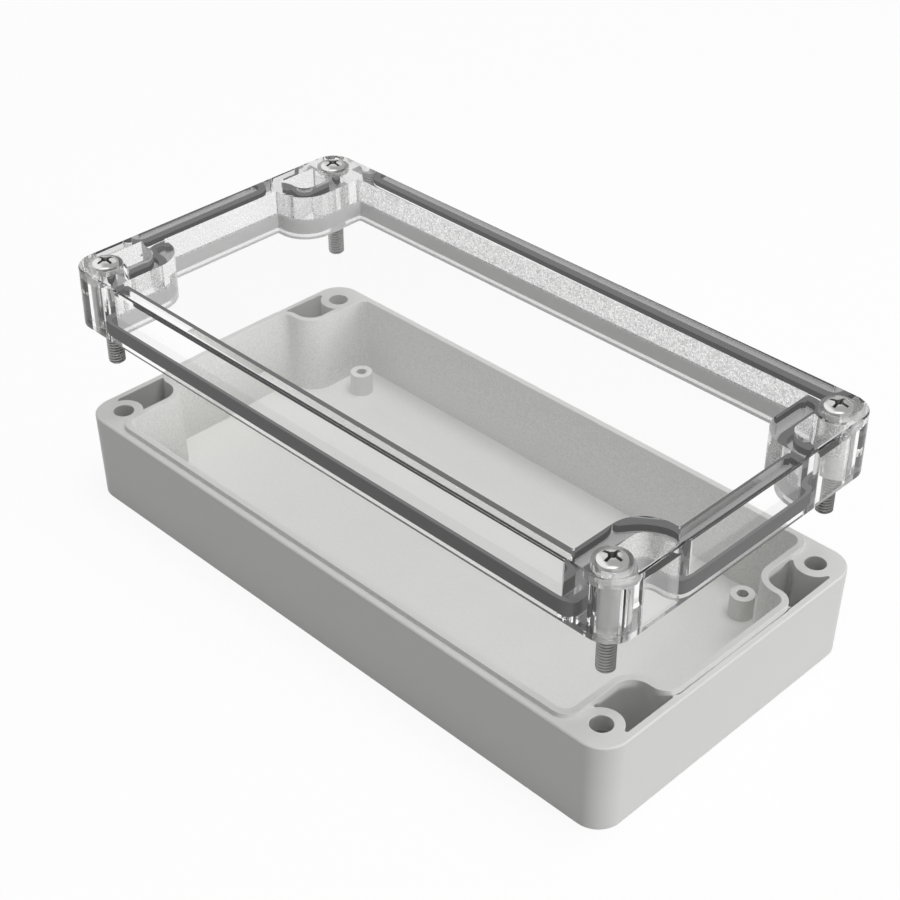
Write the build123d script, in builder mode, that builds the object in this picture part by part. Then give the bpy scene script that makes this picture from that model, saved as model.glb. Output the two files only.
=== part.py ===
from build123d import *
import os

# Sealed ABS enclosure with a clear lid, stored with the lid lifted off its base.
# Millimetres. +Z is up, +X runs along the length, and the origin is the centre of the base's underside.

# Base, measured at the rim
length = 160.0
width = 80.0
base_height = 21.8
corner_radius = 6.2
wall_draft = 1.3
floor_thickness = 3.0
edge_break = 0.3

# Raised lip that the gasket closes on
rim_width = 1.65
lip_thickness = 1.5
lip_height = 1.2

# Corner shoulders, where the seal line turns inside the screw and the wall hole
shoulder_length = 9.2
shoulder_width = 18.15
shoulder_radius = 5.8
end_fillet = 2.4
side_fillet = 2.5
smallest_round = 0.2

# Open pockets and screw bosses outside the seal
screw_inset = 6.4
boss_radius = 4.5
pocket_end_wall = 1.7
tip_round = 0.4
wall_hole_diameter = 4.5
screw_hole_diameter = 4.7

# Circuit board standoffs
standoff_inset_x = 20.0
standoff_inset_y = 11.4
standoff_diameter = 5.5
standoff_height = 5.7
pilot_diameter = 2.5
pilot_depth = 5.7

# Hexagonal brass inserts moulded into the bosses
insert_across_flats = 6.0
insert_length = 9.0
insert_end = 1.0
insert_depth = 4.0
insert_clearance = 0.02

# Clear lid
lid_lift = 24.9
lid_height = 14.2
lid_step = 0.45
lid_draft = 0.6
lid_edge_break = 0.3
plate_thickness = 3.1
lid_setback = 2.0
lid_end_wall = 1.75
lid_pocket_wall = 1.15
counterbore_diameter = 7.6
counterbore_depth = 3.2
clearance_diameter = 4.5

# Gasket and the groove that holds it
groove_clearance = 0.15
gasket_clearance = 0.03
gasket_recess = 0.7
gasket_height = 3.4

# Lid screws
shank_diameter = 3.88
shank_length = 22.0
thread_clearance = 0.06
head_diameter = 6.0
head_rim_height = 3.05
head_crown_height = 1.25
head_top_diameter = 2.4

# Places that follow from the sizes above
cavity_x = length / 2 - rim_width - lip_thickness
cavity_y = width / 2 - rim_width - lip_thickness
wall_hole_x = cavity_x - shoulder_length + shoulder_radius
wall_hole_y = cavity_y - shoulder_width + shoulder_radius
screw_x = wall_hole_x
screw_y = width / 2 - screw_inset
lid_bottom = base_height + lid_lift
lid_top = lid_bottom + lid_height
lid_length = length - 2 * lid_step
lid_width = width - 2 * lid_step
groove_depth = gasket_recess + gasket_height
screw_seat = lid_top - counterbore_depth
insert_top = base_height - insert_depth
screw_axes = [(-screw_x, -screw_y), (screw_x, -screw_y), (screw_x, screw_y), (-screw_x, screw_y)]


def seal_outline(growth):
    """Plan of the cavity, with its four shoulders, grown outwards on every side."""
    x_end = cavity_x + growth
    y_side = cavity_y + growth
    x_shoulder = x_end - shoulder_length
    y_shoulder = y_side - shoulder_width
    corners = [(0, y_side), (x_shoulder, y_side), (x_shoulder, y_shoulder), (x_end, y_shoulder), (x_end, 0)]
    radii = [
        max(side_fillet + growth, smallest_round),
        max(shoulder_radius - growth, smallest_round),
        max(end_fillet + growth, smallest_round),
    ]
    with BuildSketch() as plan:
        with BuildLine():
            FilletPolyline(*corners, radius=radii)
            mirror(about=Plane.YZ)
            mirror(about=Plane.XZ)
        make_face()
    return plan.sketch


def pocket_outline(growth, end_line):
    """Plan of the four pockets between the seal wall, the end wall and the screw boss."""
    x_near = cavity_x - shoulder_length
    y_near = cavity_y - shoulder_width - end_fillet
    with BuildSketch() as plan:
        with BuildLine():
            Polyline((x_near, y_near), (end_line, y_near), (end_line, screw_y), (x_near, screw_y), close=True)
        make_face()
        add(seal_outline(growth), mode=Mode.SUBTRACT)
        with Locations((screw_x, screw_y)):
            Circle(boss_radius, mode=Mode.SUBTRACT)
        offset(amount=-tip_round)
        offset(amount=tip_round)
        mirror(about=Plane.YZ)
        mirror(about=Plane.XZ)
    return plan.sketch


# Base tray
with BuildPart() as base:
    with BuildSketch(Plane.XY.offset(base_height)):
        RectangleRounded(length, width, corner_radius)
    extrude(amount=-base_height, taper=wall_draft)
    chamfer(base.faces().sort_by(Axis.Z)[-1].edges(), edge_break)

    # Lip and cavity
    with BuildSketch(Plane.XY.offset(base_height)):
        add(seal_outline(lip_thickness))
    extrude(amount=lip_height)
    with BuildSketch(Plane.XY.offset(base_height + lip_height)):
        add(seal_outline(0))
    extrude(amount=floor_thickness - base_height - lip_height, taper=wall_draft, mode=Mode.SUBTRACT)

    # Pockets with their wall holes
    with BuildSketch(Plane.XY.offset(base_height)):
        add(pocket_outline(lip_thickness, length / 2 - pocket_end_wall))
    extrude(amount=floor_thickness - base_height, mode=Mode.SUBTRACT)
    with BuildSketch(Plane.XY):
        with GridLocations(2 * wall_hole_x, 2 * wall_hole_y, 2, 2):
            Circle(wall_hole_diameter / 2)
    extrude(amount=floor_thickness, mode=Mode.SUBTRACT)

    # Screw holes down to the inserts
    with BuildSketch(Plane.XY.offset(base_height)):
        with GridLocations(2 * screw_x, 2 * screw_y, 2, 2):
            Circle(screw_hole_diameter / 2)
    extrude(amount=-insert_depth, mode=Mode.SUBTRACT)
    with BuildSketch(Plane.XY.offset(insert_top)):
        with GridLocations(2 * screw_x, 2 * screw_y, 2, 2):
            RegularPolygon(insert_across_flats / 2 + insert_clearance, 6, major_radius=False)
    extrude(amount=-insert_length, mode=Mode.SUBTRACT)

    # Standoffs
    with BuildSketch(Plane.XY.offset(floor_thickness)):
        with GridLocations(length - 2 * standoff_inset_x, width - 2 * standoff_inset_y, 2, 2):
            Circle(standoff_diameter / 2)
    extrude(amount=standoff_height)
    with BuildSketch(Plane.XY.offset(floor_thickness + standoff_height)):
        with GridLocations(length - 2 * standoff_inset_x, width - 2 * standoff_inset_y, 2, 2):
            Circle(pilot_diameter / 2)
    extrude(amount=-pilot_depth, mode=Mode.SUBTRACT)

# Clear lid
with BuildPart() as lid:
    with BuildSketch(Plane.XY.offset(lid_bottom)):
        RectangleRounded(lid_length, lid_width, corner_radius - lid_step)
    extrude(amount=lid_height, taper=lid_draft)
    chamfer(lid.faces().sort_by(Axis.Z)[-1].edges(), lid_edge_break)

    # Space under the plate, and the four pockets that cover those of the base
    with BuildSketch(Plane.XY.offset(lid_bottom)):
        add(seal_outline(-lid_setback))
        add(pocket_outline(lip_thickness + groove_clearance + lid_pocket_wall, lid_length / 2 - lid_end_wall))
    extrude(amount=lid_height - plate_thickness, mode=Mode.SUBTRACT)

    # Gasket groove
    with BuildSketch(Plane.XY.offset(lid_bottom)):
        add(seal_outline(lip_thickness + groove_clearance))
        add(seal_outline(-groove_clearance), mode=Mode.SUBTRACT)
    extrude(amount=groove_depth, mode=Mode.SUBTRACT)

    # Screw holes
    with Locations(Plane.XY.offset(lid_top)):
        with Locations(*screw_axes):
            CounterBoreHole(clearance_diameter / 2, counterbore_diameter / 2, counterbore_depth)

# Gasket, as it lies in its groove
with BuildPart() as gasket:
    with BuildSketch(Plane.XY.offset(lid_bottom + gasket_recess)):
        add(seal_outline(lip_thickness + groove_clearance - gasket_clearance))
        add(seal_outline(gasket_clearance - groove_clearance), mode=Mode.SUBTRACT)
    extrude(amount=gasket_height)

# Threaded insert, closed at its lower end
with BuildPart() as insert:
    with BuildSketch(Plane.XY.offset(insert_top)):
        RegularPolygon(insert_across_flats / 2, 6, major_radius=False)
    extrude(amount=-insert_length)
    with BuildSketch(Plane.XY.offset(insert_top)):
        Circle(shank_diameter / 2 + thread_clearance)
    extrude(amount=insert_end - insert_length, mode=Mode.SUBTRACT)

# Lid screw, drawn to the crest of its thread
with BuildPart() as screw:
    with BuildSketch(Plane.XZ):
        with BuildLine():
            Polyline(
                (0, screw_seat - shank_length),
                (shank_diameter / 2, screw_seat - shank_length),
                (shank_diameter / 2, screw_seat),
                (head_diameter / 2, screw_seat),
                (head_diameter / 2, screw_seat + head_rim_height),
                (head_top_diameter / 2, screw_seat + head_rim_height + head_crown_height),
                (0, screw_seat + head_rim_height + head_crown_height),
                close=True,
            )
        make_face()
    revolve(axis=Axis.Z)

# Files, one for each piece
os.makedirs("parts", exist_ok=True)
base.part.label = "base"
lid.part.label = "lid"
gasket.part.label = "gasket"
export_step(base.part, "parts/base.step")
export_step(lid.part, "parts/lid.step")
export_step(gasket.part, "parts/gasket.step")
for number, axis_place in enumerate(screw_axes, start=1):
    for name, piece in (("insert", insert), ("lid_screw", screw)):
        with BuildPart() as placed:
            with Locations(axis_place):
                add(piece.part)
        placed.part.label = f"{name}_{number}"
        export_step(placed.part, f"parts/{name}_{number}.step")
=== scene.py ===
# %% [markdown]
# # A sealed plastic enclosure with a clear lid
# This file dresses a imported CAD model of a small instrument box, which is shown with its lid lifted off.
# The CAD nodes give every place and size. What is made here gives the finish that a camera sees: soft moulded
# edges, clear plastic that bends light, a rubber ring, and screws with a real thread and recess.

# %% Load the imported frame
import math

import bmesh
import bpy
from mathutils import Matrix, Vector


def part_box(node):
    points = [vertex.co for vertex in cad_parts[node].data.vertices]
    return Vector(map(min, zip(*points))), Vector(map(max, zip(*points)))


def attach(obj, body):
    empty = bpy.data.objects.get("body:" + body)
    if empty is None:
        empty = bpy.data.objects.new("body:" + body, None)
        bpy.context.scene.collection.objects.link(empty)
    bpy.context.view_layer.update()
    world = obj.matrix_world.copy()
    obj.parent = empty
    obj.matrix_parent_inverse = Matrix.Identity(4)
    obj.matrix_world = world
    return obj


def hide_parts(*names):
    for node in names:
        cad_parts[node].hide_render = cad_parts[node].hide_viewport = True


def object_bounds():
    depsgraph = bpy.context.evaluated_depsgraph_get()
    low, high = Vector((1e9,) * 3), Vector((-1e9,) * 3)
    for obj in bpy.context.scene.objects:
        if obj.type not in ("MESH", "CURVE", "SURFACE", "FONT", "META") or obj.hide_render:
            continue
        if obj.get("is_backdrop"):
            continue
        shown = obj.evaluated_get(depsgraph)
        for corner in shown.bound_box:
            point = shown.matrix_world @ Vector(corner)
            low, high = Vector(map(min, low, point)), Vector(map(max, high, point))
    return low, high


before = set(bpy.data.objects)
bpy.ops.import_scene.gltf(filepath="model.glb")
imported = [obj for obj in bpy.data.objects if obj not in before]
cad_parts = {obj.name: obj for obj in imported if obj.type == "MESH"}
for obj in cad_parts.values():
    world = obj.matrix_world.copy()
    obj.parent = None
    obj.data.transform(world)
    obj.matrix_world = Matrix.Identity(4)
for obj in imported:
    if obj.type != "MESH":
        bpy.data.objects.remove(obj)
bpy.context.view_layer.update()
MM = 0.001

# %% [markdown]
# ## Places that several pieces share
# The box is the same in all four quarters, so one screw's place, taken without its sign, serves all four.
# A wall screw's pocket lies beside each lid screw, and its curved wall is struck from a centre of its own.

# %% Shared places
SCREW_X, SCREW_Y = 73.45 * MM, 33.6 * MM
POCKET_Y = 24.5 * MM
SHOULDER_RADIUS = 5.05 * MM
PLATE_THICKNESS = 3.1 * MM
SEAT = 57.7 * MM
scene = bpy.context.scene
print("screw heads bear at", round(SEAT / MM, 2), "mm above the underside")

# %% [markdown]
# ## Node trees in Python
# A material's maths is easier to read as an expression than as a list of links. The small class below wraps
# an output socket, and each operator adds one Math node. The reflected forms let 1 - mask work too.

# %% A socket that can be added and multiplied
class Signal:
    def __init__(self, tree, socket):
        self.tree = tree
        self.socket = socket

    def maths(self, operation, first, second=0.0):
        node = self.tree.nodes.new("ShaderNodeMath")
        node.operation = operation
        for slot, value in zip(node.inputs, (first, second)):
            if isinstance(value, Signal):
                self.tree.links.new(value.socket, slot)
            else:
                slot.default_value = value
        return Signal(self.tree, node.outputs[0])

    def __add__(self, other):
        return self.maths("ADD", self, other)

    def __sub__(self, other):
        return self.maths("SUBTRACT", self, other)

    def __rsub__(self, other):
        return self.maths("SUBTRACT", other, self)

    def __mul__(self, other):
        return self.maths("MULTIPLY", self, other)

    def __truediv__(self, other):
        return self.maths("DIVIDE", self, other)

    def __gt__(self, other):
        return self.maths("GREATER_THAN", self, other)

    def __lt__(self, other):
        return self.maths("LESS_THAN", self, other)

    def __abs__(self):
        return self.maths("ABSOLUTE", self)

    def at_least(self, other):
        return self.maths("MAXIMUM", self, other)

    def at_most(self, other):
        return self.maths("MINIMUM", self, other)

    def in_unit(self):
        """Held between 0 and 1."""
        return self.at_least(0.0).at_most(1.0)

    def root(self):
        return self.maths("SQRT", self)

    def fraction(self):
        return self.maths("FRACT", self)

    def angle_from(self, other):
        """Angle of the point (other, self) round the origin."""
        return self.maths("ARCTAN2", self, other)

    __radd__ = __add__


# %% [markdown]
# Any other node comes from one method. It sets the node's own settings first, because they can change which
# sockets the node has, and then the values or links of its sockets.

# %% A tree that takes its nodes one call at a time
class Tree:
    def __init__(self, tree):
        self.tree = tree
        self.tree.nodes.clear()

    def node(self, kind, settings=(), sockets=(), take=0):
        node = self.tree.nodes.new(kind)
        for name, value in dict(settings).items():
            setattr(node, name, value)
        for name, value in dict(sockets).items():
            if isinstance(value, Signal):
                self.tree.links.new(value.socket, node.inputs[name])
            else:
                node.inputs[name].default_value = value
        if isinstance(take, (tuple, list)):
            return [Signal(self.tree, node.outputs[name]) for name in take]
        return Signal(self.tree, node.outputs[take]) if node.outputs else None


def material(name):
    made = bpy.data.materials.new(name)
    made.use_nodes = True
    return made, Tree(made.node_tree)


def new_object(name, data):
    item = bpy.data.objects.new(name, data)
    scene.collection.objects.link(item)
    return item


# %% [markdown]
# ## Camera
# The picture looks down on a long side and an end, at equal angles to all three axes. The eye's place was
# solved from the box's straight edges, so that each edge of the model falls on its edge in the photograph.

# %% Place the camera
EYE = (0.2278, -0.22773, 0.25827)
AZIMUTH, ELEVATION = math.radians(45), math.radians(35.2644)
LENS, SENSOR = 72.76, 36.0
camera = new_object("camera", bpy.data.cameras.new("camera"))
camera.location = EYE
camera.rotation_euler = (math.pi / 2 - ELEVATION, 0, AZIMUTH)
camera.data.lens = LENS
camera.data.sensor_width = SENSOR
camera.data.sensor_fit = "HORIZONTAL"
camera.data.clip_start = 0.01
camera.data.clip_end = 50
scene.camera = camera
print("camera distance, metres:", round(camera.location.length, 3))

# %% [markdown]
# ## Sky
# A product is photographed in soft light, so that each wall has one even tone. A dim sky does this for the
# long side, which the lamps hardly reach. What shines needs something to mirror, and a sky of one colour
# would make metal and glass look flat. So mirrors and glass see a grey sky with three white patches, as they
# would see three white cards in a studio: one on the left, one above the camera and one behind the box. The
# camera itself sees plain white. Light Path tells these rays apart.

# %% Rays that see the background
def background_rays(tree):
    rays = tree.node("ShaderNodeLightPath", take=("Is Camera Ray", "Is Glossy Ray", "Is Transmission Ray"))
    return rays[0], rays[1].at_least(rays[2])


# %% Sky with three soft patches
AMBIENT = 0.27
SEEN_SKY = 0.45
LEFT_CARD = {"towards": (-0.707, -0.707, 0), "start": 0.12, "full": 0.45, "dim": SEEN_SKY, "bright": 1.0}
CAMERA_CARD = {"towards": (0.46, -0.46, 0.76), "start": 0.82, "full": 0.92, "dim": 0.0, "bright": 1.3}
BACK_CARD = {"towards": (-0.577, 0.577, 0.577), "start": 0.87, "full": 0.96, "dim": 0.0, "bright": 0.8}
world = bpy.data.worlds.new("studio")
world.use_nodes = True
scene.world = world
sky = Tree(world.node_tree)
by_camera, by_gloss = background_rays(sky)
way = sky.node("ShaderNodeTexCoord", take=("Generated",))[0]


def soft_patch(towards, start, full, dim, bright):
    """A part of the sky round one direction. Start and full are cosines of the angle from that direction."""
    near = sky.node("ShaderNodeVectorMath", {"operation": "DOT_PRODUCT"}, {0: way, 1: towards}, take=1)
    ends = {"Value": near, "From Min": start, "From Max": full, "To Min": dim, "To Max": bright}
    return sky.node("ShaderNodeMapRange", {"interpolation_type": "SMOOTHSTEP"}, ends)


left, over_camera, behind = (soft_patch(**card) for card in (LEFT_CARD, CAMERA_CARD, BACK_CARD))
level = AMBIENT + by_gloss * (left.at_least(over_camera).at_least(behind) - AMBIENT)
level = level * (1 - by_camera) + by_camera
shown = sky.node("ShaderNodeBackground", sockets={"Color": (1, 1, 1, 1), "Strength": level})
sky.node("ShaderNodeOutputWorld", sockets={"Surface": shown})
print("sky level for walls", AMBIENT, "and for mirrors", SEEN_SKY)

# %% [markdown]
# ## Lamps
# Two lamps shape the box. A wide one overhead gives the bright rim and floor. A low one lights the end wall,
# and it stands so low that the rim keeps most of it off the far end of the tray. Mirrors don't see the lamps,
# because a small round image of a lamp on each polished head would look like a flash.

# %% Lamps
def lamp(name, place, size, power):
    data = bpy.data.lights.new(name, "AREA")
    data.shape = "DISK"
    data.size = size
    data.energy = power
    item = new_object(name, data)
    item.location = place
    item.rotation_euler = (-Vector(place)).to_track_quat("-Z", "Y").to_euler()
    item.visible_glossy = False
    print(name, "at", place, "with", power, "watts")


lamp("lamp_above", (0.25, 0.10, 1.45), 1.0, 13.4)
lamp("lamp_end", (1.6, 0.2, 0.13), 0.24, 9.3)

# %% [markdown]
# ## Floor
# The floor is plain white paper. The camera, metal and glass see it white, and it still takes the shadow of
# the box. For light that bounces on to the walls it is less than half as bright, which keeps the long side
# darker. It lies a hair below the box, since two faces in one plane show as torn triangles, and it is clear
# from below, so that the underside can be looked at.

# %% Floor
FLOOR_HALF = 3.0
FLOOR_WHITE = 0.9
FLOOR_BOUNCE = 0.4
FLOOR_LEVEL = -0.05 * MM
quarters = [(-1, -1), (1, -1), (1, 1), (-1, 1)]
floor_points = [(FLOOR_HALF * x, FLOOR_HALF * y, FLOOR_LEVEL) for x, y in quarters]
floor_mesh = bpy.data.meshes.new("floor")
floor_mesh.from_pydata(floor_points, [], [(0, 1, 2, 3)])
floor = new_object("floor", floor_mesh)
paper, tree = material("floor_paper")
by_camera, by_gloss = background_rays(tree)
seen = by_camera.at_least(by_gloss)
tones = {axis: FLOOR_BOUNCE + seen * (1 - FLOOR_BOUNCE) for axis in "XYZ"}
shade = tree.node("ShaderNodeCombineXYZ", sockets=tones)
matte = tree.node("ShaderNodeBsdfDiffuse", sockets={"Color": shade})
glow = tree.node("ShaderNodeEmission", sockets={"Color": (1, 1, 1, 1), "Strength": 1.0})
both = tree.node("ShaderNodeMixShader", sockets={"Fac": seen * FLOOR_WHITE, 1: matte, 2: glow})
gone = tree.node("ShaderNodeBsdfTransparent", sockets={"Color": (1, 1, 1, 1)})
from_below = tree.node("ShaderNodeNewGeometry", take=("Backfacing",))[0]
sheet = tree.node("ShaderNodeMixShader", sockets={"Fac": from_below, 1: both, 2: gone})
tree.node("ShaderNodeOutputMaterial", sockets={"Surface": sheet})
floor.data.materials.append(paper)
floor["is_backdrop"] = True
print("floor at", round(FLOOR_LEVEL / MM, 3), "mm,", 2 * FLOOR_HALF, "m wide")

# %% [markdown]
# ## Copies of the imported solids
# A CAD node is a set of loose triangles with hard edges. The base, the lid and the gasket could be modelled
# again, but a copy of the node has every place right from the start. Its triangles are merged and its flat
# areas become single faces. Then moulded edges can be rounded by a tenth of a millimetre or so, which is what
# makes an edge catch the light.

# %% Merge and round
MERGE_WITHIN = 0.001 * MM
FLAT_WITHIN = math.radians(0.3)
CORNER_FROM = math.radians(30)


def merged_copy(node):
    shape = bmesh.new()
    shape.from_mesh(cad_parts[node].data)
    bmesh.ops.remove_doubles(shape, verts=shape.verts, dist=MERGE_WITHIN)
    bmesh.ops.dissolve_limit(shape, angle_limit=FLAT_WITHIN, verts=shape.verts, edges=shape.edges)
    print(node, "merged to", len(shape.faces), "faces")
    return shape


def corner_edges(shape):
    return [e for e in shape.edges if len(e.link_faces) == 2 and e.calc_face_angle() > CORNER_FROM]


def rounded(shape, edges, width, segments=2):
    bmesh.ops.bevel(
        shape,
        geom=edges,
        offset=width,
        offset_type="OFFSET",
        segments=segments,
        profile=0.5,
        affect="EDGES",
        clamp_overlap=False,
    )
    print("rounded", len(edges), "edges by", round(width / MM, 3), "mm")


# %% [markdown]
# A flat wall beside a rounded corner should stay flat. Blender's shading would tilt its normals towards the
# corner, so the last step weighs the normals by area. In clear plastic that matters most, because a tilted
# normal bends the picture behind it.

# %% Keep the plain mesh that the modifiers make
def plain_mesh(item, *helpers):
    bpy.context.view_layer.update()
    graph = bpy.context.evaluated_depsgraph_get()
    mesh = bpy.data.meshes.new_from_object(item.evaluated_get(graph))
    for used in (item, *helpers):
        bpy.data.objects.remove(used)
    return mesh


# %% Weigh the normals
SHARP_FROM = math.radians(35)
LARGEST_FACE_WINS = 100


def settled(shape, name):
    mesh = bpy.data.meshes.new(name)
    shape.to_mesh(mesh)
    shape.free()
    mesh.polygons.foreach_set("use_smooth", [True] * len(mesh.polygons))
    mesh.set_sharp_from_angle(angle=SHARP_FROM)
    item = new_object(name, mesh)
    weigh = item.modifiers.new("weigh", "WEIGHTED_NORMAL")
    weigh.mode = "FACE_AREA"
    weigh.weight = LARGEST_FACE_WINS
    weigh.keep_sharp = True
    return plain_mesh(item)


# %% [markdown]
# Each finished mesh becomes one object that rides on a body and stands for the CAD node it was made from.
# Clearing a mesh's materials also resets which face wears which, so the choice is saved and put back.

# %% Fit a piece on its body
def fitted(name, mesh, coats, body, slot, *replaced):
    mesh.name = name
    chosen = [face.material_index for face in mesh.polygons]
    mesh.materials.clear()
    for coat in coats:
        mesh.materials.append(coat)
    mesh.polygons.foreach_set("material_index", chosen)
    item = new_object(name, mesh)
    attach(item, body)
    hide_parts(*replaced)
    print(name, "has", len(mesh.polygons), "faces")
    return item


# %% [markdown]
# ## Helpers for finishes
# A finish that should look moulded in reads the object's own coordinates, in metres, so that a size in the
# shader is a real size. Noise gives grain and smudges, and a Mix node goes from one colour to another.

# %% Small helpers for finishes
def object_place(tree):
    at = tree.node("ShaderNodeTexCoord", take=("Object",))[0]
    return at, tree.node("ShaderNodeSeparateXYZ", sockets={"Vector": at}, take=("X", "Y", "Z"))


def specks(tree, at, size, detail=1.0):
    """Noise from 0 to 1 whose grains are about size across."""
    return tree.node("ShaderNodeTexNoise", sockets={"Vector": at, "Scale": 1 / size, "Detail": detail})


def between(tree, share, first, second):
    return tree.node("ShaderNodeMix", {"data_type": "RGBA"}, {0: share, 6: first, 7: second}, take=2)


def finished(tree, **sockets):
    named = {name.replace("_", " "): value for name, value in sockets.items()}
    surface = tree.node("ShaderNodeBsdfPrincipled", sockets=named)
    tree.node("ShaderNodeOutputMaterial", sockets={"Surface": surface})


# %% [markdown]
# ## Base tray
# The base is moulded in light grey ABS. Its outside is smooth with a low sheen. Its inside was left with a
# fine spark-eroded grain by the mould's core, and that grain shows most on the upright walls. It could be
# modelled, but a grain of half a millimetre is best left to the shader. Noise makes it, and masks from the
# plan and the height keep it inside the cavity, off the corner pockets, and strongest on the walls.

# %% Where the tray is grained
CAVITY_X, CAVITY_Y = 77.0 * MM, 37.0 * MM
CAVITY_LOW, WALL_LOW, WALL_HIGH = 2.5 * MM, 3.3 * MM, 21.7 * MM
PAST_STANDOFFS_X, PAST_STANDOFFS_Y = 64 * MM, 33 * MM
FINE_GRAIN, COARSE_GRAIN, CLOUDS = 0.12 * MM, 0.45 * MM, 14 * MM
abs_plastic, tree = material("abs_plastic")
at, (x, y, z) = object_place(tree)
fine = specks(tree, at, FINE_GRAIN)
coarse = specks(tree, at, COARSE_GRAIN, 2.0)
cloudy = specks(tree, at, CLOUDS, 2.0)
to_pocket_x = (SCREW_X - abs(x)).at_least(0.0)
to_pocket_y = (POCKET_Y - abs(y)).at_least(0.0)
outside_pockets = to_pocket_x * to_pocket_x + to_pocket_y * to_pocket_y > SHOULDER_RADIUS ** 2
inside = (abs(x) < CAVITY_X) * (abs(y) < CAVITY_Y) * (z > CAVITY_LOW) * outside_pockets
past_standoffs = (abs(x) > PAST_STANDOFFS_X).at_least(abs(y) > PAST_STANDOFFS_Y)
on_walls = inside * past_standoffs * (z > WALL_LOW) * (z < WALL_HIGH)
print("grain reaches", round(CAVITY_X / MM, 1), "and", round(CAVITY_Y / MM, 1), "mm from the centre")

# %% ABS finish
SPECK_CONTRAST = 2.6
WALL_GRAIN, FLOOR_GRAIN = 0.4, 0.1
GRAIN_DEPTH = 0.03 * MM
sharper = ((coarse - 0.5) * SPECK_CONTRAST + 0.5).in_unit()
grey = between(tree, cloudy, (0.735, 0.735, 0.72, 1), (0.765, 0.765, 0.75, 1))
speckled = between(tree, sharper, (0.61, 0.61, 0.598, 1), (0.91, 0.91, 0.892, 1))
grain = inside * coarse + fine * 0.12
bump = tree.node("ShaderNodeBump", sockets={"Strength": 0.6, "Distance": GRAIN_DEPTH, "Height": grain})
finished(
    tree,
    Base_Color=between(tree, on_walls * WALL_GRAIN + inside * FLOOR_GRAIN, grey, speckled),
    Roughness=0.4 + cloudy * 0.08 + inside * 0.12,
    Normal=bump,
    IOR=1.53,
)
print("tray finish has", len(tree.tree.nodes), "nodes")

# %% Dress the base
TRAY_ROUND = 0.12 * MM
shape = merged_copy("base")
rounded(shape, corner_edges(shape), TRAY_ROUND)
fitted("tray", settled(shape, "tray"), [abs_plastic], "base", "base", "base")

# %% [markdown]
# ## Clear plastic
# The lid is clear polycarbonate, and it is the piece that a viewer looks through. Its solid shape does the
# work: light bends at each real wall, groove and counterbore, so a glass shader is nearly enough. Three
# places aren't polished on the real lid, and each has its own finish, a share of haze over the glass. The
# inner walls have a pale haze, which is grainy above the gasket. The face that meets the base is matt inside
# the groove, all but its front run, and a little so under the screw columns; its haze there is a dark grey,
# painted shade which greys the light that runs down in the walls. The counterbores are milled. Seen from
# within the plastic a haze would hide what lies behind it, so each finish says how much of it shows from
# there.

# %% Clear finishes
WALL_HAZE, RIM_HAZE, BORE_HAZE = 0.48, 0.8, 0.85
LEDGE_X, LEDGE_Y = 76.75 * MM, 36.75 * MM
COLUMN_X, COLUMN_Y, COLUMN_HAZE = 66 * MM, 18 * MM, 0.35
FRONT_RUN, GRAIN_FROM = -34.5 * MM, 51.75 * MM
GRAIN_SIZE = 0.34 * MM


def clear_plastic(name, haze=0.0, tone=0.0, from_air=1.0, from_plastic=1.0, on_ledge=False, contrast=0.0):
    finish, tree = material(name)
    clear = tree.node(
        "ShaderNodeBsdfPrincipled",
        sockets={"Base Color": (1, 1, 1, 1), "Roughness": 0.0, "IOR": 1.5, "Transmission Weight": 1.0},
    )
    surface = clear
    if haze:
        at, (x, y, z) = object_place(tree)
        grain = (specks(tree, at, GRAIN_SIZE, 1.0) - 0.5) * contrast * (z > GRAIN_FROM)
        backs = tree.node("ShaderNodeNewGeometry", take=("Backfacing",))[0]
        share = (grain + 1.0) * (backs * (from_plastic - from_air) + from_air) * haze
        if on_ledge:
            ledge = (abs(x) < LEDGE_X) * (abs(y) < LEDGE_Y)
            columns = (abs(x) > COLUMN_X) * (abs(y) > COLUMN_Y) * (1 - ledge) * COLUMN_HAZE
            share = share * (ledge * (y > FRONT_RUN) + columns)
        veil = tree.node("ShaderNodeBsdfDiffuse", sockets={"Color": (tone, tone, tone, 1)})
        surface = tree.node("ShaderNodeMixShader", sockets={"Fac": share.in_unit(), 1: clear, 2: veil})
    tree.node("ShaderNodeOutputMaterial", sockets={"Surface": surface})
    print(name, "has haze", haze)
    return finish


clear = clear_plastic("clear_plastic")
hazed_wall = clear_plastic("hazed_wall", WALL_HAZE, 0.98, from_plastic=0.0, contrast=4.0)
# The rim's haze is a matt seam with a dark grey tone, and that dark tone is painted shade.
matt_and_shaded_rim = clear_plastic("matt_and_shaded_rim", RIM_HAZE, 0.28, on_ledge=True)
milled_bore = clear_plastic("milled_bore", BORE_HAZE, 0.75, from_plastic=0.6)

# %% [markdown]
# ## Lid
# The lid is a copy of its solid too. Only its outer top edge is softened, because every rounded edge in clear
# plastic draws a line of its own. Its faces are sorted by where they lie. A face of a counterbore is at the
# bore's radius from a screw, an inner wall reaches from low down up to the plate, and the rim is lowest.

# %% Round the lid's top edge
LID_ROUND = 0.1 * MM
TOP_BAND = 0.4 * MM
STEEPEST = math.radians(60)
shape = merged_copy("lid")
top = max(v.co.z for v in shape.verts)
outer = [
    e
    for e in corner_edges(shape)
    if e.calc_face_angle() < STEEPEST and min(v.co.z for v in e.verts) > top - TOP_BAND
]
rounded(shape, outer, LID_ROUND)
lid_mesh = settled(shape, "clear_lid")

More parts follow.
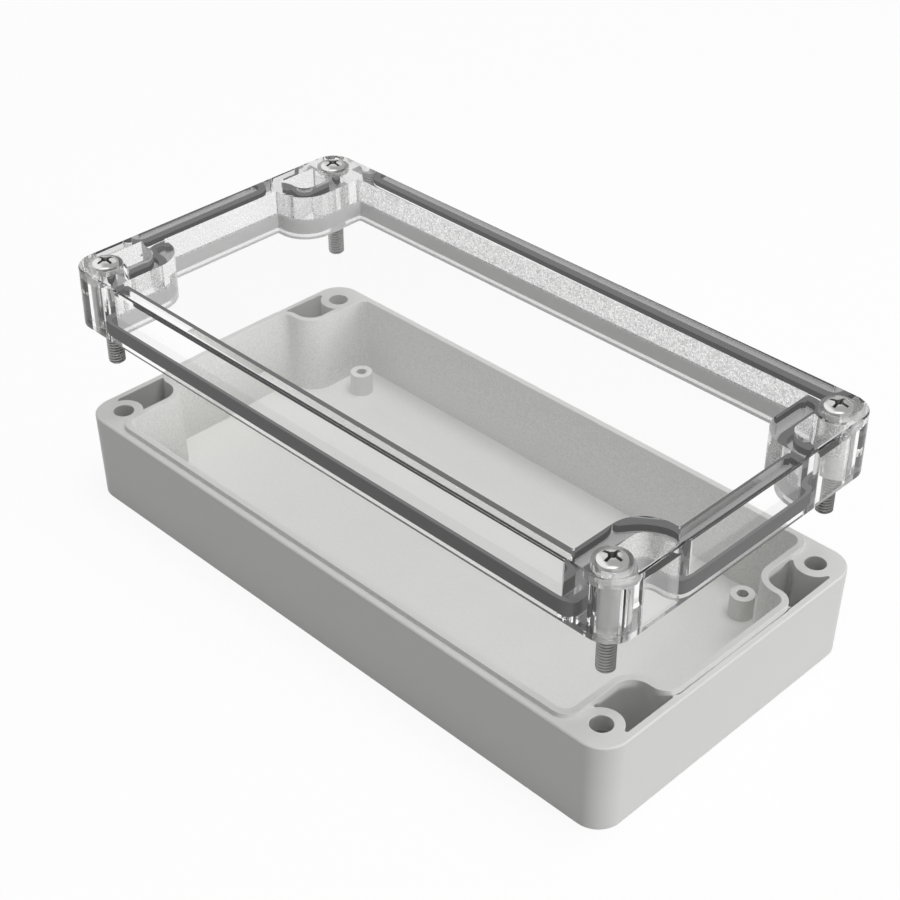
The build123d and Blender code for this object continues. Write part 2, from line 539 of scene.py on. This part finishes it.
# %% Sort the lid's faces by finish
BORE_RADIUS = 3.8 * MM
HOLE_REACH = 2.5 * MM
INNER_WALL_LEAST = 10 * MM
PLATE_WITHIN, BORE_WITHIN, RIM_WITHIN = 0.05 * MM, 0.1 * MM, 0.01 * MM
BORE_BELOW_PLATE = 0.2 * MM
UPRIGHT = 0.1
HAZED, MATT_AND_SHADED, MILLED = 1, 2, 3
rim = min(v.co.z for v in lid_mesh.vertices)
plate_low = top - PLATE_THICKNESS
inner_walls = rim_faces = 0
for face in lid_mesh.polygons:
    heights = [lid_mesh.vertices[i].co.z for i in face.vertices]
    lowest, highest = min(heights), max(heights)
    from_screw = math.hypot(abs(face.center.x) - SCREW_X, abs(face.center.y) - SCREW_Y)
    to_plate = abs(highest - plate_low) < PLATE_WITHIN and highest - lowest > INNER_WALL_LEAST
    in_counterbore = abs(from_screw - BORE_RADIUS) < BORE_WITHIN and lowest > plate_low - BORE_BELOW_PLATE
    if in_counterbore:
        face.material_index = MILLED
    elif to_plate and abs(face.normal.z) < UPRIGHT and from_screw > HOLE_REACH:
        face.material_index = HAZED
        inner_walls += 1
    elif highest < rim + RIM_WITHIN:
        face.material_index = MATT_AND_SHADED
        rim_faces += 1
print("hazed inner faces:", inner_walls, "and matt rim faces:", rim_faces)

# %% [markdown]
# Thin clear plastic lets soft light through, but a renderer gives glass a black shadow. So the lid casts
# none, and it is left out of the light that bounces between the walls.

# %% Dress the lid
clear_lid = fitted("clear_lid", lid_mesh, [clear, hazed_wall, matt_and_shaded_rim, milled_bore], "lid", "lid", "lid")
clear_lid.visible_shadow = False
clear_lid.visible_diffuse = False

# %% [markdown]
# ## Gasket
# The gasket is a soft rubber ring that is pressed into the lid's groove. Where rubber touches clear plastic
# no film of air is left, so the plastic shows it dark. Where a film stays, the plastic mirrors the sky there
# and a white line runs along the ring. So the ring is swelled by a few hundredths of a millimetre into both
# walls of its groove and up into its top. Two runs stay clear of the inner wall, as a ring that is laid by
# hand seldom bears evenly. The top, which is seen through more plastic, has a paler tone: painted light.

# %% Rubber finish
SKIN_GRAIN, SKIN_DEPTH = 0.3 * MM, 0.02 * MM


def rubber(name, tone):
    finish, tree = material(name)
    at, _ = object_place(tree)
    skin = specks(tree, at, SKIN_GRAIN, 2.0)
    bump = tree.node("ShaderNodeBump", sockets={"Strength": 0.3, "Distance": SKIN_DEPTH, "Height": skin})
    pale = tone * 1.3
    finished(
        tree,
        Base_Color=between(tree, skin, (tone, tone, tone, 1), (pale, pale, tone * 1.32, 1)),
        Roughness=0.55 + skin * 0.15,
        Specular_IOR_Level=0.0,
        Normal=bump,
    )
    print(name, "has tone", tone)
    return finish


ring_side = rubber("gasket_rubber", 0.08)
# Painted light: the top is given a paler tone than the sides.
ring_top_painted_light = rubber("gasket_top_painted_light", 0.12)

# %% Press the ring into its groove
PRESS_SIDE, PRESS_TOP = 0.04 * MM, 0.02 * MM
SLACK_FRONT, SLACK_END = -36 * MM, 76 * MM
FACES_ALONG, FACES_SIDEWAYS = 0.95, 0.5
shape = merged_copy("gasket")
low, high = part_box("gasket")
slack = 0
for vertex in shape.verts:
    sideways = Vector((0, 0, 0))
    for face in vertex.link_faces:
        if abs(face.normal.z) < FACES_SIDEWAYS:
            sideways += face.normal
    sideways.normalize()
    slack_front = vertex.co.y < SLACK_FRONT and sideways.y > FACES_ALONG
    slack_end = vertex.co.x > SLACK_END and sideways.x < -FACES_ALONG
    if slack_front or slack_end:
        slack += 1
    else:
        vertex.co += sideways * PRESS_SIDE
    if vertex.co.z > (low.z + high.z) / 2:
        vertex.co.z += PRESS_TOP
print(slack, "points of the ring stay clear of the groove's wall")

# %% Dress the gasket
GASKET_ROUND, GASKET_SEGMENTS = 0.3 * MM, 3
LOW_BAND = 0.1 * MM
FACES_UP = 0.9
below = [e for e in corner_edges(shape) if max(v.co.z for v in e.verts) < low.z + LOW_BAND]
rounded(shape, below, GASKET_ROUND, GASKET_SEGMENTS)
ring_mesh = settled(shape, "seal_ring")
for face in ring_mesh.polygons:
    face.material_index = int(face.normal.z > FACES_UP)
fitted("seal_ring", ring_mesh, [ring_side, ring_top_painted_light], "lid", "gasket", "gasket")

# %% [markdown]
# ## Metals
# Four finishes make the metal readable. The domed head is polished and plated, so it mirrors the white and
# the grey of the studio. The recess is worn, and its dark tone is painted shade for its depth. The shank is
# dull, with painted shade in the grooves of its thread: its depth below the crest is worked out from the
# distance to the screw's axis. The inserts in the base are plated dull, and since hardly anything of them
# shows, they keep the CAD mesh.

# %% Metal finishes
SHANK_RADIUS = 1.94 * MM
THREAD_DEPTH = 0.4 * MM
SMUDGE_SIZE = 0.5 * MM
# Smudges, and the painted shade in the thread's grooves, darken the tone to this share.
SMUDGE_AND_SHADE_DIM = 0.35


def metal(name, tone, roughness, uneven, groove_shade=0.0):
    finish, tree = material(name)
    at, (x, y, z) = object_place(tree)
    smudge = specks(tree, at, SMUDGE_SIZE, 2.0)
    dx, dy = abs(x) - SCREW_X, abs(y) - SCREW_Y
    out = (dx * dx + dy * dy).root()
    # Painted shade: the grooves of the thread are darker by how deep they lie below the crest.
    painted_groove_shade = ((SHANK_RADIUS - out) / THREAD_DEPTH).in_unit() * groove_shade
    bright = (tone, tone, tone * 0.98, 1)
    dark = (tone * SMUDGE_AND_SHADE_DIM, tone * SMUDGE_AND_SHADE_DIM, tone * 0.34, 1)
    finished(
        tree,
        Base_Color=between(tree, (smudge * uneven + painted_groove_shade).at_most(1.0), bright, dark),
        Roughness=roughness + smudge * uneven * 0.5,
        Metallic=1.0,
    )
    print(name, "has tone", tone, "and roughness", roughness)
    return finish


polished = metal("polished_nickel", 0.83, 0.17, 0.08)
# The recess's dark tone is painted shade for its depth; its smudges are wear.
recess_shaded_metal = metal("recess_painted_shade", 0.36, 0.55, 0.2)
dull_steel = metal("dull_steel", 0.38, 0.42, 0.15, 0.8)
insert_metal = metal("plated_insert", 0.55, 0.35, 0.15)
for number in range(1, 5):
    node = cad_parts[f"insert_{number}"]
    node.data.materials.clear()
    node.data.materials.append(insert_metal)

# %% [markdown]
# ## Thread of a lid screw
# Each screw is a machine screw with a plain neck, a thread on its lower half and a domed head with a cross
# recess. A thread could be a profile swept along a helix, which often crosses itself. Here Geometry Nodes
# shape it from a plain cylinder with many rows: every point moves in by how far it lies from the crest of the
# helix. The mesh stays closed, and each size is a named input of the group.

# %% Sizes of a screw
THREAD_PITCH = 0.7 * MM
THREAD_LENGTH = 11.0 * MM
TIP_CHAMFER = 0.35 * MM
ROWS_PER_PITCH = 8
AROUND = 40
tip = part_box("lid_screw_1")[0].z
print("screw tip at", round(tip / MM, 2), "mm, seat at", round(SEAT / MM, 2))

# %% Node group that cuts the thread, with its inputs
group = bpy.data.node_groups.new("screw_thread", "GeometryNodeTree")
maker = Tree(group)
group.interface.new_socket("Geometry", in_out="OUTPUT", socket_type="NodeSocketGeometry")
THREAD_INPUTS = {
    "Radius": SHANK_RADIUS,
    "Bottom": tip,
    "Top": SEAT,
    "Thread Top": tip + THREAD_LENGTH,
    "Pitch": THREAD_PITCH,
    "Depth": THREAD_DEPTH,
    "Chamfer": TIP_CHAMFER,
}
OTHER_INPUTS = {"Rows": "NodeSocketInt", "Centre": "NodeSocketVector", "Finish": "NodeSocketMaterial"}
for label in THREAD_INPUTS:
    group.interface.new_socket(label, in_out="INPUT", socket_type="NodeSocketFloat")
for label, kind in OTHER_INPUTS.items():
    group.interface.new_socket(label, in_out="INPUT", socket_type=kind)
inputs = maker.node("NodeGroupInput", take=[*THREAD_INPUTS, *OTHER_INPUTS])
radius, bottom, top, thread_top, pitch, depth, chamfer, rows, centre, coat = inputs

# %% Shape of the thread
FLANK_SLOPE, CREST_FLAT = 2.6, 0.3
rod = maker.node(
    "GeometryNodeMeshCylinder",
    {"fill_type": "NGON"},
    {"Vertices": AROUND, "Side Segments": rows, "Radius": radius, "Depth": top - bottom},
)
at = maker.node("GeometryNodeInputPosition")
x, y, z = maker.node("ShaderNodeSeparateXYZ", sockets={"Vector": at}, take=("X", "Y", "Z"))
height = z + (top - bottom) * 0.5
turn = y.angle_from(x) / math.tau
phase = (height / pitch - turn).fraction()
groove = (abs(phase - 0.5) * FLANK_SLOPE - CREST_FLAT).in_unit()
threaded = ((thread_top - bottom - height) / pitch).in_unit()
away = (radius - groove * threaded * depth).at_most(radius - chamfer + height)
scale = away / radius
moved = maker.node("ShaderNodeCombineXYZ", sockets={"X": x * scale, "Y": y * scale, "Z": height + bottom})
placed = maker.node("ShaderNodeVectorMath", {"operation": "ADD"}, {0: moved, 1: centre})
shaped = maker.node("GeometryNodeSetPosition", sockets={"Geometry": rod, "Position": placed})
real = maker.node("GeometryNodeRealizeInstances", sockets={"Geometry": shaped})
coated = maker.node("GeometryNodeSetMaterial", sockets={"Geometry": real, "Material": coat})
maker.node("NodeGroupOutput", sockets={"Geometry": coated})
print("thread group has", len(group.nodes), "nodes")


# %% [markdown]
# A modifier's inputs are set by each socket's identifier, before the object is first evaluated. The result
# is kept as a plain mesh, because the export drops instances and live modifiers.

# %% Run a node group and keep its plain mesh
def grown(name, group, values):
    item = new_object(name, bpy.data.meshes.new(name))
    modifier = item.modifiers.new(name, "NODES")
    modifier.node_group = group
    for entry in group.interface.items_tree:
        if entry.item_type == "SOCKET" and entry.in_out == "INPUT":
            modifier[entry.identifier] = values[entry.name]
    return plain_mesh(item)


# %% [markdown]
# ## Head of a lid screw
# The head is turned on a lathe: a flat seat, a straight side and a low dome. So is its mesh, from a list of
# radii and heights. A point on the axis is one vertex for all steps, which closes the poles.

# %% Turn a profile into a closed mesh
def turned(name, profile, steps, centre):
    """Profile lists (radius, height), from the axis at the bottom to the axis at the top."""
    shape = bmesh.new()
    rings = []
    for radius, height in profile:
        if radius == 0:
            rings.append([shape.verts.new((centre[0], centre[1], height))] * steps)
        else:
            angles = [math.tau * i / steps for i in range(steps)]
            points = [(centre[0] + radius * math.cos(a), centre[1] + radius * math.sin(a)) for a in angles]
            rings.append([shape.verts.new((*point, height)) for point in points])
    for low, high in zip(rings, rings[1:]):
        for i in range(steps):
            j = (i + 1) % steps
            corners = dict.fromkeys((low[i], low[j], high[j], high[i]))
            shape.faces.new(list(corners))
    mesh = bpy.data.meshes.new(name)
    shape.to_mesh(mesh)
    shape.free()
    return mesh


# %% Profile of the head
RIM_HEIGHT = 3.1 * MM
HEAD_RADIUS = 3.0 * MM
DOME_HEIGHT = 1.1 * MM
HEAD_BEVEL = 0.15 * MM
DOME_STEPS = 16
HEAD_STEPS = 64


def head_profile():
    edge = SEAT + RIM_HEIGHT
    turns = [math.pi / 2 * i / DOME_STEPS for i in range(DOME_STEPS, 0, -1)]
    dome = [(HEAD_RADIUS * math.sin(a), edge + DOME_HEIGHT * math.cos(a)) for a in turns]
    side = [
        (0, SEAT),
        (HEAD_RADIUS - HEAD_BEVEL, SEAT),
        (HEAD_RADIUS, SEAT + HEAD_BEVEL),
        (HEAD_RADIUS, edge - HEAD_BEVEL),
    ]
    return side + dome + [(0, edge + DOME_HEIGHT)]


# %% [markdown]
# ## Cross recess
# A punch presses the recess into the head: two tapered blades that cross, round a tapered core. The same
# punch is built as a mesh and taken away with a Boolean, so that the recess has real depth and real shadows.
# The faces that the punch leaves behind wear the punch's finish, which is the dark one with painted shade,
# because head and punch have the same two finishes in the same order.

# %% One tapered blade of the punch
RECESS_SPAN = 2.45 * MM
RECESS_WIDTH = 0.36 * MM
RECESS_FLOOR = 1.6 * MM
RECESS_TURN = math.radians(3)
SPARE = 0.2 * MM
TIP_SPAN, TIP_WIDTH = 0.45 * RECESS_SPAN, 0.7 * RECESS_WIDTH
CORE_LOW, CORE_HIGH, CORE_STEPS = 0.55 * MM, 0.95 * MM, 16
IN_RECESS, ON_SHANK = 1, 2
BOX_FACES = ((3, 2, 1, 0), (4, 5, 6, 7), (0, 1, 5, 4), (1, 2, 6, 5), (2, 3, 7, 6), (3, 0, 4, 7))


def add_blade(cutter, centre, turn, low, top):
    points = []
    for height, span, width in ((low, TIP_SPAN, TIP_WIDTH), (top, RECESS_SPAN, RECESS_WIDTH)):
        for u, v in ((-span, -width), (span, -width), (span, width), (-span, width)):
            across = centre[0] + u * math.cos(turn) - v * math.sin(turn)
            along = centre[1] + u * math.sin(turn) + v * math.cos(turn)
            points.append(cutter.verts.new((across, along, height)))
    for face in BOX_FACES:
        cutter.faces.new([points[i] for i in face])


# %% The whole punch
def recess_cutter(centre):
    top = SEAT + RIM_HEIGHT + DOME_HEIGHT + SPARE
    low = top - RECESS_FLOOR - SPARE
    cutter = bmesh.new()
    for turn in (RECESS_TURN, RECESS_TURN + math.pi / 2):
        add_blade(cutter, centre, turn, low, top)
    blades = bpy.data.meshes.new("recess")
    cutter.to_mesh(blades)
    cutter.free()
    cone = [(0, low - SPARE), (CORE_LOW, low), (CORE_HIGH, top), (0, top)]
    core = turned("core", cone, CORE_STEPS, centre)
    for made in (blades, core):
        made.polygons.foreach_set("material_index", [IN_RECESS] * len(made.polygons))
    return blades, core


def cut(mesh, *cutters):
    for made in (*cutters, mesh):
        made.materials.append(polished)
        made.materials.append(recess_shaded_metal)
    whole = new_object("whole", mesh)
    tools = []
    for cutter in cutters:
        tool = new_object("tool", cutter)
        tools.append(tool)
        modifier = whole.modifiers.new("cut", "BOOLEAN")
        modifier.operation = "DIFFERENCE"
        modifier.solver = "EXACT"
        modifier.use_self = True
        modifier.object = tool
    return plain_mesh(whole, *tools)


# %% [markdown]
# ## Four lid screws
# Head and shank are joined in one mesh for each body, and each screw has its own mesh at its own place, so
# that it can turn about its own axis.

# %% Make the four screws
thread_rows = round((SEAT - tip) / THREAD_PITCH * ROWS_PER_PITCH)
for number in range(1, 5):
    low_corner, high_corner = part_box(f"lid_screw_{number}")
    centre = (low_corner + high_corner) / 2
    values = {**THREAD_INPUTS, "Rows": thread_rows, "Centre": (centre.x, centre.y, 0.0), "Finish": dull_steel}
    head = cut(turned("head", head_profile(), HEAD_STEPS, centre), *recess_cutter(centre))
    whole = bmesh.new()
    whole.from_mesh(head)
    on_head = len(whole.faces)
    whole.from_mesh(grown("shank", group, values))
    whole.faces.ensure_lookup_table()
    for face in whole.faces[on_head:]:
        face.material_index = ON_SHANK
    fitted(
        f"machine_screw_{number}",
        settled(whole, "machine_screw"),
        [polished, recess_shaded_metal, dull_steel],
        f"lid_screw_{number}",
        "screws",
        f"lid_screw_{number}",
    )

# %% [markdown]
# ## View and bounces
# Standard shows colours as they are written. Light crosses many walls on its way through the lid, so it needs
# more bounces than usual, or the thick places would turn black.

# %% View
LIGHT_BOUNCES = 32
scene.view_settings.view_transform = "Standard"
scene.cycles.max_bounces = LIGHT_BOUNCES
scene.cycles.transmission_bounces = LIGHT_BOUNCES
scene.cycles.transparent_max_bounces = LIGHT_BOUNCES
print("light may bounce", LIGHT_BOUNCES, "times")

# %% [markdown]
# ## Sizes
# The dressed model should be as large as the CAD model, so the box of what is shown is measured and printed.

# %% Size of what is shown
low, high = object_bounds()
print("visual box, millimetres:", [round(v / MM, 2) for v in (*low, *high)])
